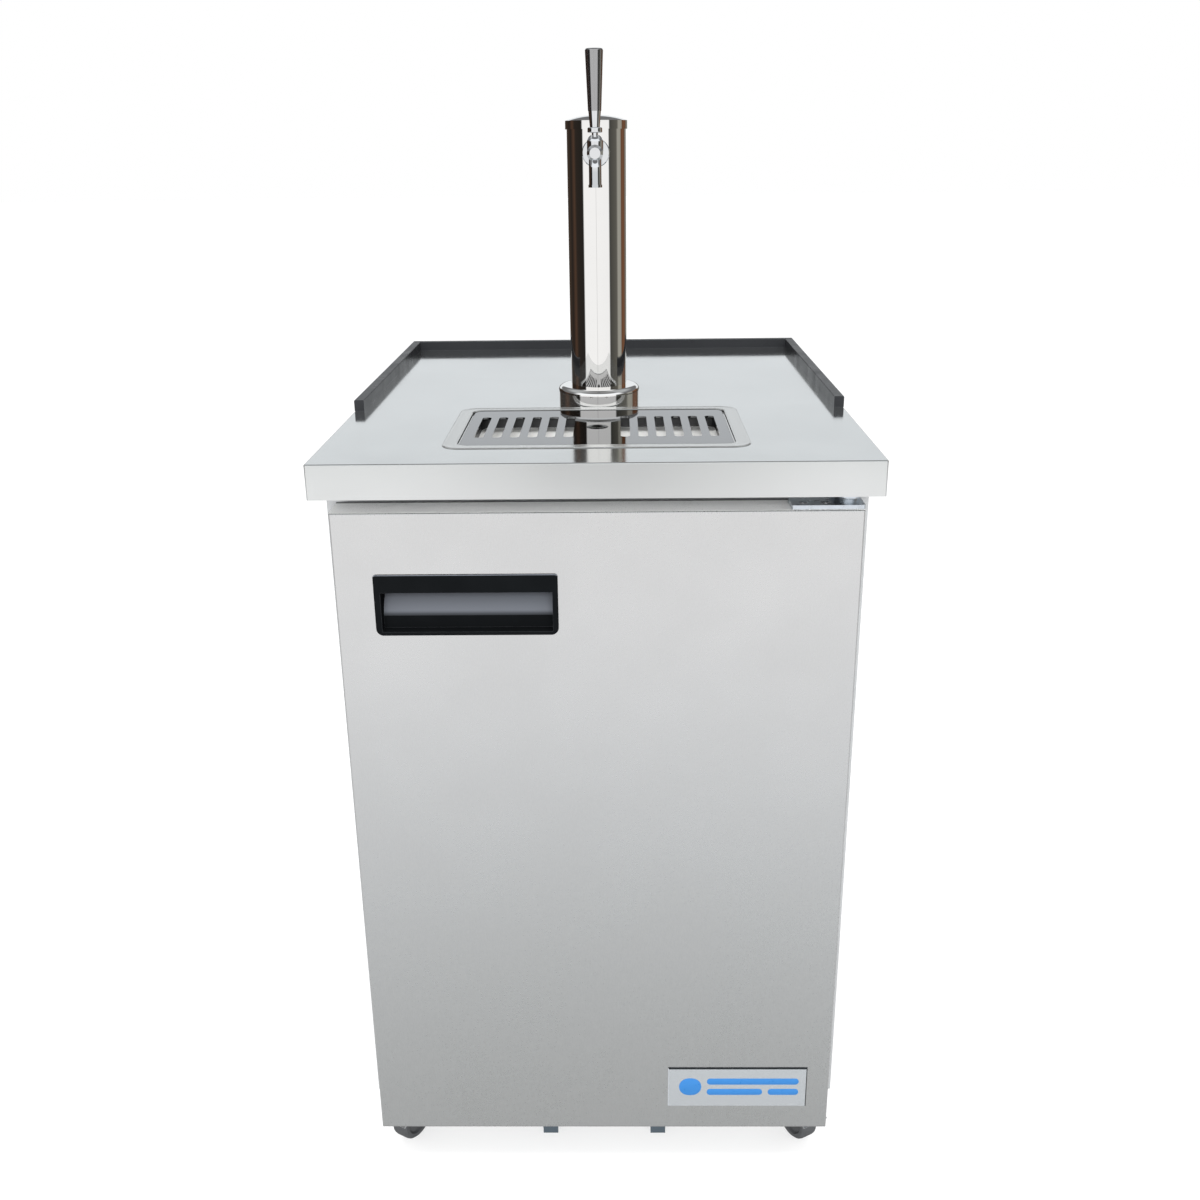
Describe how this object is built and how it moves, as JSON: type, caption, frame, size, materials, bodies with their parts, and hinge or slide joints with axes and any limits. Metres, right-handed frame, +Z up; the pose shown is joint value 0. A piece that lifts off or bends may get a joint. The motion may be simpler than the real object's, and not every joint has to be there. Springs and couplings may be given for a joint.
{
  "type": "kegerator",
  "caption": "Undercounter beer dispenser: stainless cabinet on castors with a hinged door, drip tray, rails and one chrome tower tap.",
  "frame": {"origin": "on the floor, under the centre of the worktop's outline", "axes": "+Z up; the door and the tap face -Y; +X is the hinge side of the door, to the right seen from the front"},
  "size_m": [0.6, 0.755, 1.3435],
  "materials": {
    "galvanised_steel": "satin",
    "side_steel": "satin",
    "frame_metal": "satin",
    "foam": "matte",
    "liner_metal": "satin",
    "screw_steel": "satin",
    "black_plastic": "satin",
    "bracket_paint": "satin",
    "worktop_steel": "satin",
    "rail_plastic": "satin",
    "tray_steel": "gloss",
    "grille_steel": "gloss",
    "tower_chrome": "polished",
    "faucet_chrome": "polished",
    "line_plastic": "satin",
    "handle_plastic": "gloss",
    "door_steel": "satin",
    "liner_plastic": "satin",
    "gasket_rubber": "matte",
    "pull_plastic": "gloss",
    "badge_metal": "satin",
    "hinge_steel": "satin",
    "bush_plastic": "satin",
    "castor_steel": "satin",
    "castor_tyre": "matte",
    "compressor_paint": "satin",
    "coil_metal": "satin",
    "motor_metal": "satin",
    "fan_plastic": "satin",
    "copper_pipe": "satin"
  },
  "bodies": {
    "cabinet": {"base_pan": "galvanised_steel", "outer_panels": "side_steel", "front_frame": "frame_metal", "cabinet_foam": "foam", "inner_liner": "liner_metal", "rear_louvre_panel": "galvanised_steel", "cabinet_screws": "screw_steel", "cord_gland": "black_plastic", "anti_tip_brackets": "bracket_paint", "worktop": "worktop_steel", "worktop_rails": "rail_plastic", "drip_tray": "tray_steel", "tower_flange": "tower_chrome", "tower_screws": "screw_steel", "tower_column": "tower_chrome", "tower_cap": "tower_chrome", "tower_insulation": "foam", "beer_line": "line_plastic", "keg_line_nut": "faucet_chrome", "faucet_shank": "faucet_chrome", "faucet_nuts": "faucet_chrome", "faucet_body": "faucet_chrome", "faucet_bonnet": "faucet_chrome", "top_hinge_bracket": "hinge_steel", "bottom_hinge_bracket": "hinge_steel", "castor_plates": "castor_steel", "compressor": "compressor_paint", "condenser_coil": "coil_metal", "evaporator_coil": "coil_metal", "fan_motors": "motor_metal", "evaporator_cover": "liner_metal", "refrigerant_lines": "copper_pipe", "thermostat_housing": "bush_plastic"},
    "door": {"door_skin": "door_steel", "door_foam": "foam", "door_liner": "liner_plastic", "door_gasket": "gasket_rubber", "door_handle": "pull_plastic", "badge_plate": "badge_metal", "door_hinge_plate": "hinge_steel", "door_hinge_screws": "screw_steel", "door_bush": "bush_plastic"},
    "tap_lever": {"faucet_lever": "faucet_chrome", "handle_ferrule": "faucet_chrome", "tap_handle": "handle_plastic"},
    "valve_shaft": {"faucet_shaft": "faucet_chrome"},
    "tray_grille": {"drip_grille": "grille_steel"},
    "condenser_fan": {"condenser_fan_blade": "fan_plastic"},
    "evaporator_fan": {"evaporator_fan_blade": "fan_plastic"},
    "thermostat": {"thermostat_knob": "black_plastic"},
    "castor_front_left": {"castor_fork_front_left": "castor_steel"},
    "wheel_front_left": {"castor_wheel_front_left": "castor_tyre"},
    "pedal_front_left": {"brake_pedal_front_left": "castor_steel"},
    "castor_front_right": {"castor_fork_front_right": "castor_steel"},
    "wheel_front_right": {"castor_wheel_front_right": "castor_tyre"},
    "pedal_front_right": {"brake_pedal_front_right": "castor_steel"},
    "castor_rear_left": {"castor_fork_rear_left": "castor_steel"},
    "wheel_rear_left": {"castor_wheel_rear_left": "castor_tyre"},
    "castor_rear_right": {"castor_fork_rear_right": "castor_steel"},
    "wheel_rear_right": {"castor_wheel_rear_right": "castor_tyre"}
  },
  "joints": [
    {"name": "door_hinge", "type": "hinge", "parent": "cabinet", "child": "door", "pos_m": [0.268, -0.338, 0.475], "axis": [0, 0, 1], "range_deg": [0, 120]},
    {"name": "tap_pull", "type": "hinge", "parent": "cabinet", "child": "tap_lever", "pos_m": [0, -0.142, 1.247], "axis": [1, 0, 0], "range_deg": [0, 25]},
    {"name": "valve_slide", "type": "slide", "parent": "cabinet", "child": "valve_shaft", "axis": [0, 1, 0], "range_m": [0, 0.0048]},
    {"name": "grille_lift", "type": "slide", "parent": "cabinet", "child": "tray_grille", "axis": [0, 0, 1], "range_m": [0, 0.06]},
    {"name": "condenser_fan_spin", "type": "hinge", "parent": "cabinet", "child": "condenser_fan", "pos_m": [-0.155, 0.3045, 0.19], "axis": [0, 1, 0], "continuous": true},
    {"name": "evaporator_fan_spin", "type": "hinge", "parent": "cabinet", "child": "evaporator_fan", "pos_m": [0.1, 0.301, 0.732], "axis": [0, 1, 0], "continuous": true},
    {"name": "thermostat_turn", "type": "hinge", "parent": "cabinet", "child": "thermostat", "pos_m": [-0.185, 0.27, 0.805], "axis": [0, 1, 0], "range_deg": [0, 270]},
    {"name": "castor_swivel_front_left", "type": "hinge", "parent": "cabinet", "child": "castor_front_left", "pos_m": [-0.242, -0.271, 0.06], "axis": [0, 0, 1], "continuous": true},
    {"name": "wheel_roll_front_left", "type": "hinge", "parent": "castor_front_left", "child": "wheel_front_left", "pos_m": [-0.257, -0.29698, 0.0285], "axis": [0.866, -0.5, 0], "continuous": true},
    {"name": "brake_pedal_front_left", "type": "hinge", "parent": "castor_front_left", "child": "pedal_front_left", "pos_m": [-0.252, -0.28832, 0.052], "axis": [-0.866, 0.5, 0], "range_deg": [0, 10]},
    {"name": "castor_swivel_front_right", "type": "hinge", "parent": "cabinet", "child": "castor_front_right", "pos_m": [0.242, -0.271, 0.06], "axis": [0, 0, 1], "continuous": true},
    {"name": "wheel_roll_front_right", "type": "hinge", "parent": "castor_front_right", "child": "wheel_front_right", "pos_m": [0.257, -0.29698, 0.0285], "axis": [0.866, 0.5, 0], "continuous": true},
    {"name": "brake_pedal_front_right", "type": "hinge", "parent": "castor_front_right", "child": "pedal_front_right", "pos_m": [0.252, -0.28832, 0.052], "axis": [-0.866, -0.5, 0], "range_deg": [0, 10]},
    {"name": "castor_swivel_rear_left", "type": "hinge", "parent": "cabinet", "child": "castor_rear_left", "pos_m": [-0.242, 0.3, 0.06], "axis": [0, 0, 1], "continuous": true},
    {"name": "wheel_roll_rear_left", "type": "hinge", "parent": "castor_rear_left", "child": "wheel_rear_left", "pos_m": [-0.25226, 0.32819, 0.0285], "axis": [-0.9397, -0.342, 0], "continuous": true},
    {"name": "castor_swivel_rear_right", "type": "hinge", "parent": "cabinet", "child": "castor_rear_right", "pos_m": [0.242, 0.3, 0.06], "axis": [0, 0, 1], "continuous": true},
    {"name": "wheel_roll_rear_right", "type": "hinge", "parent": "castor_rear_right", "child": "wheel_rear_right", "pos_m": [0.2542, 0.32741, 0.0285], "axis": [-0.9135, 0.4067, 0], "continuous": true}
  ],
  "couplings": [
    {"joint": "valve_slide", "follows": "tap_pull", "m_per_rad": 0.0107}
  ]
}
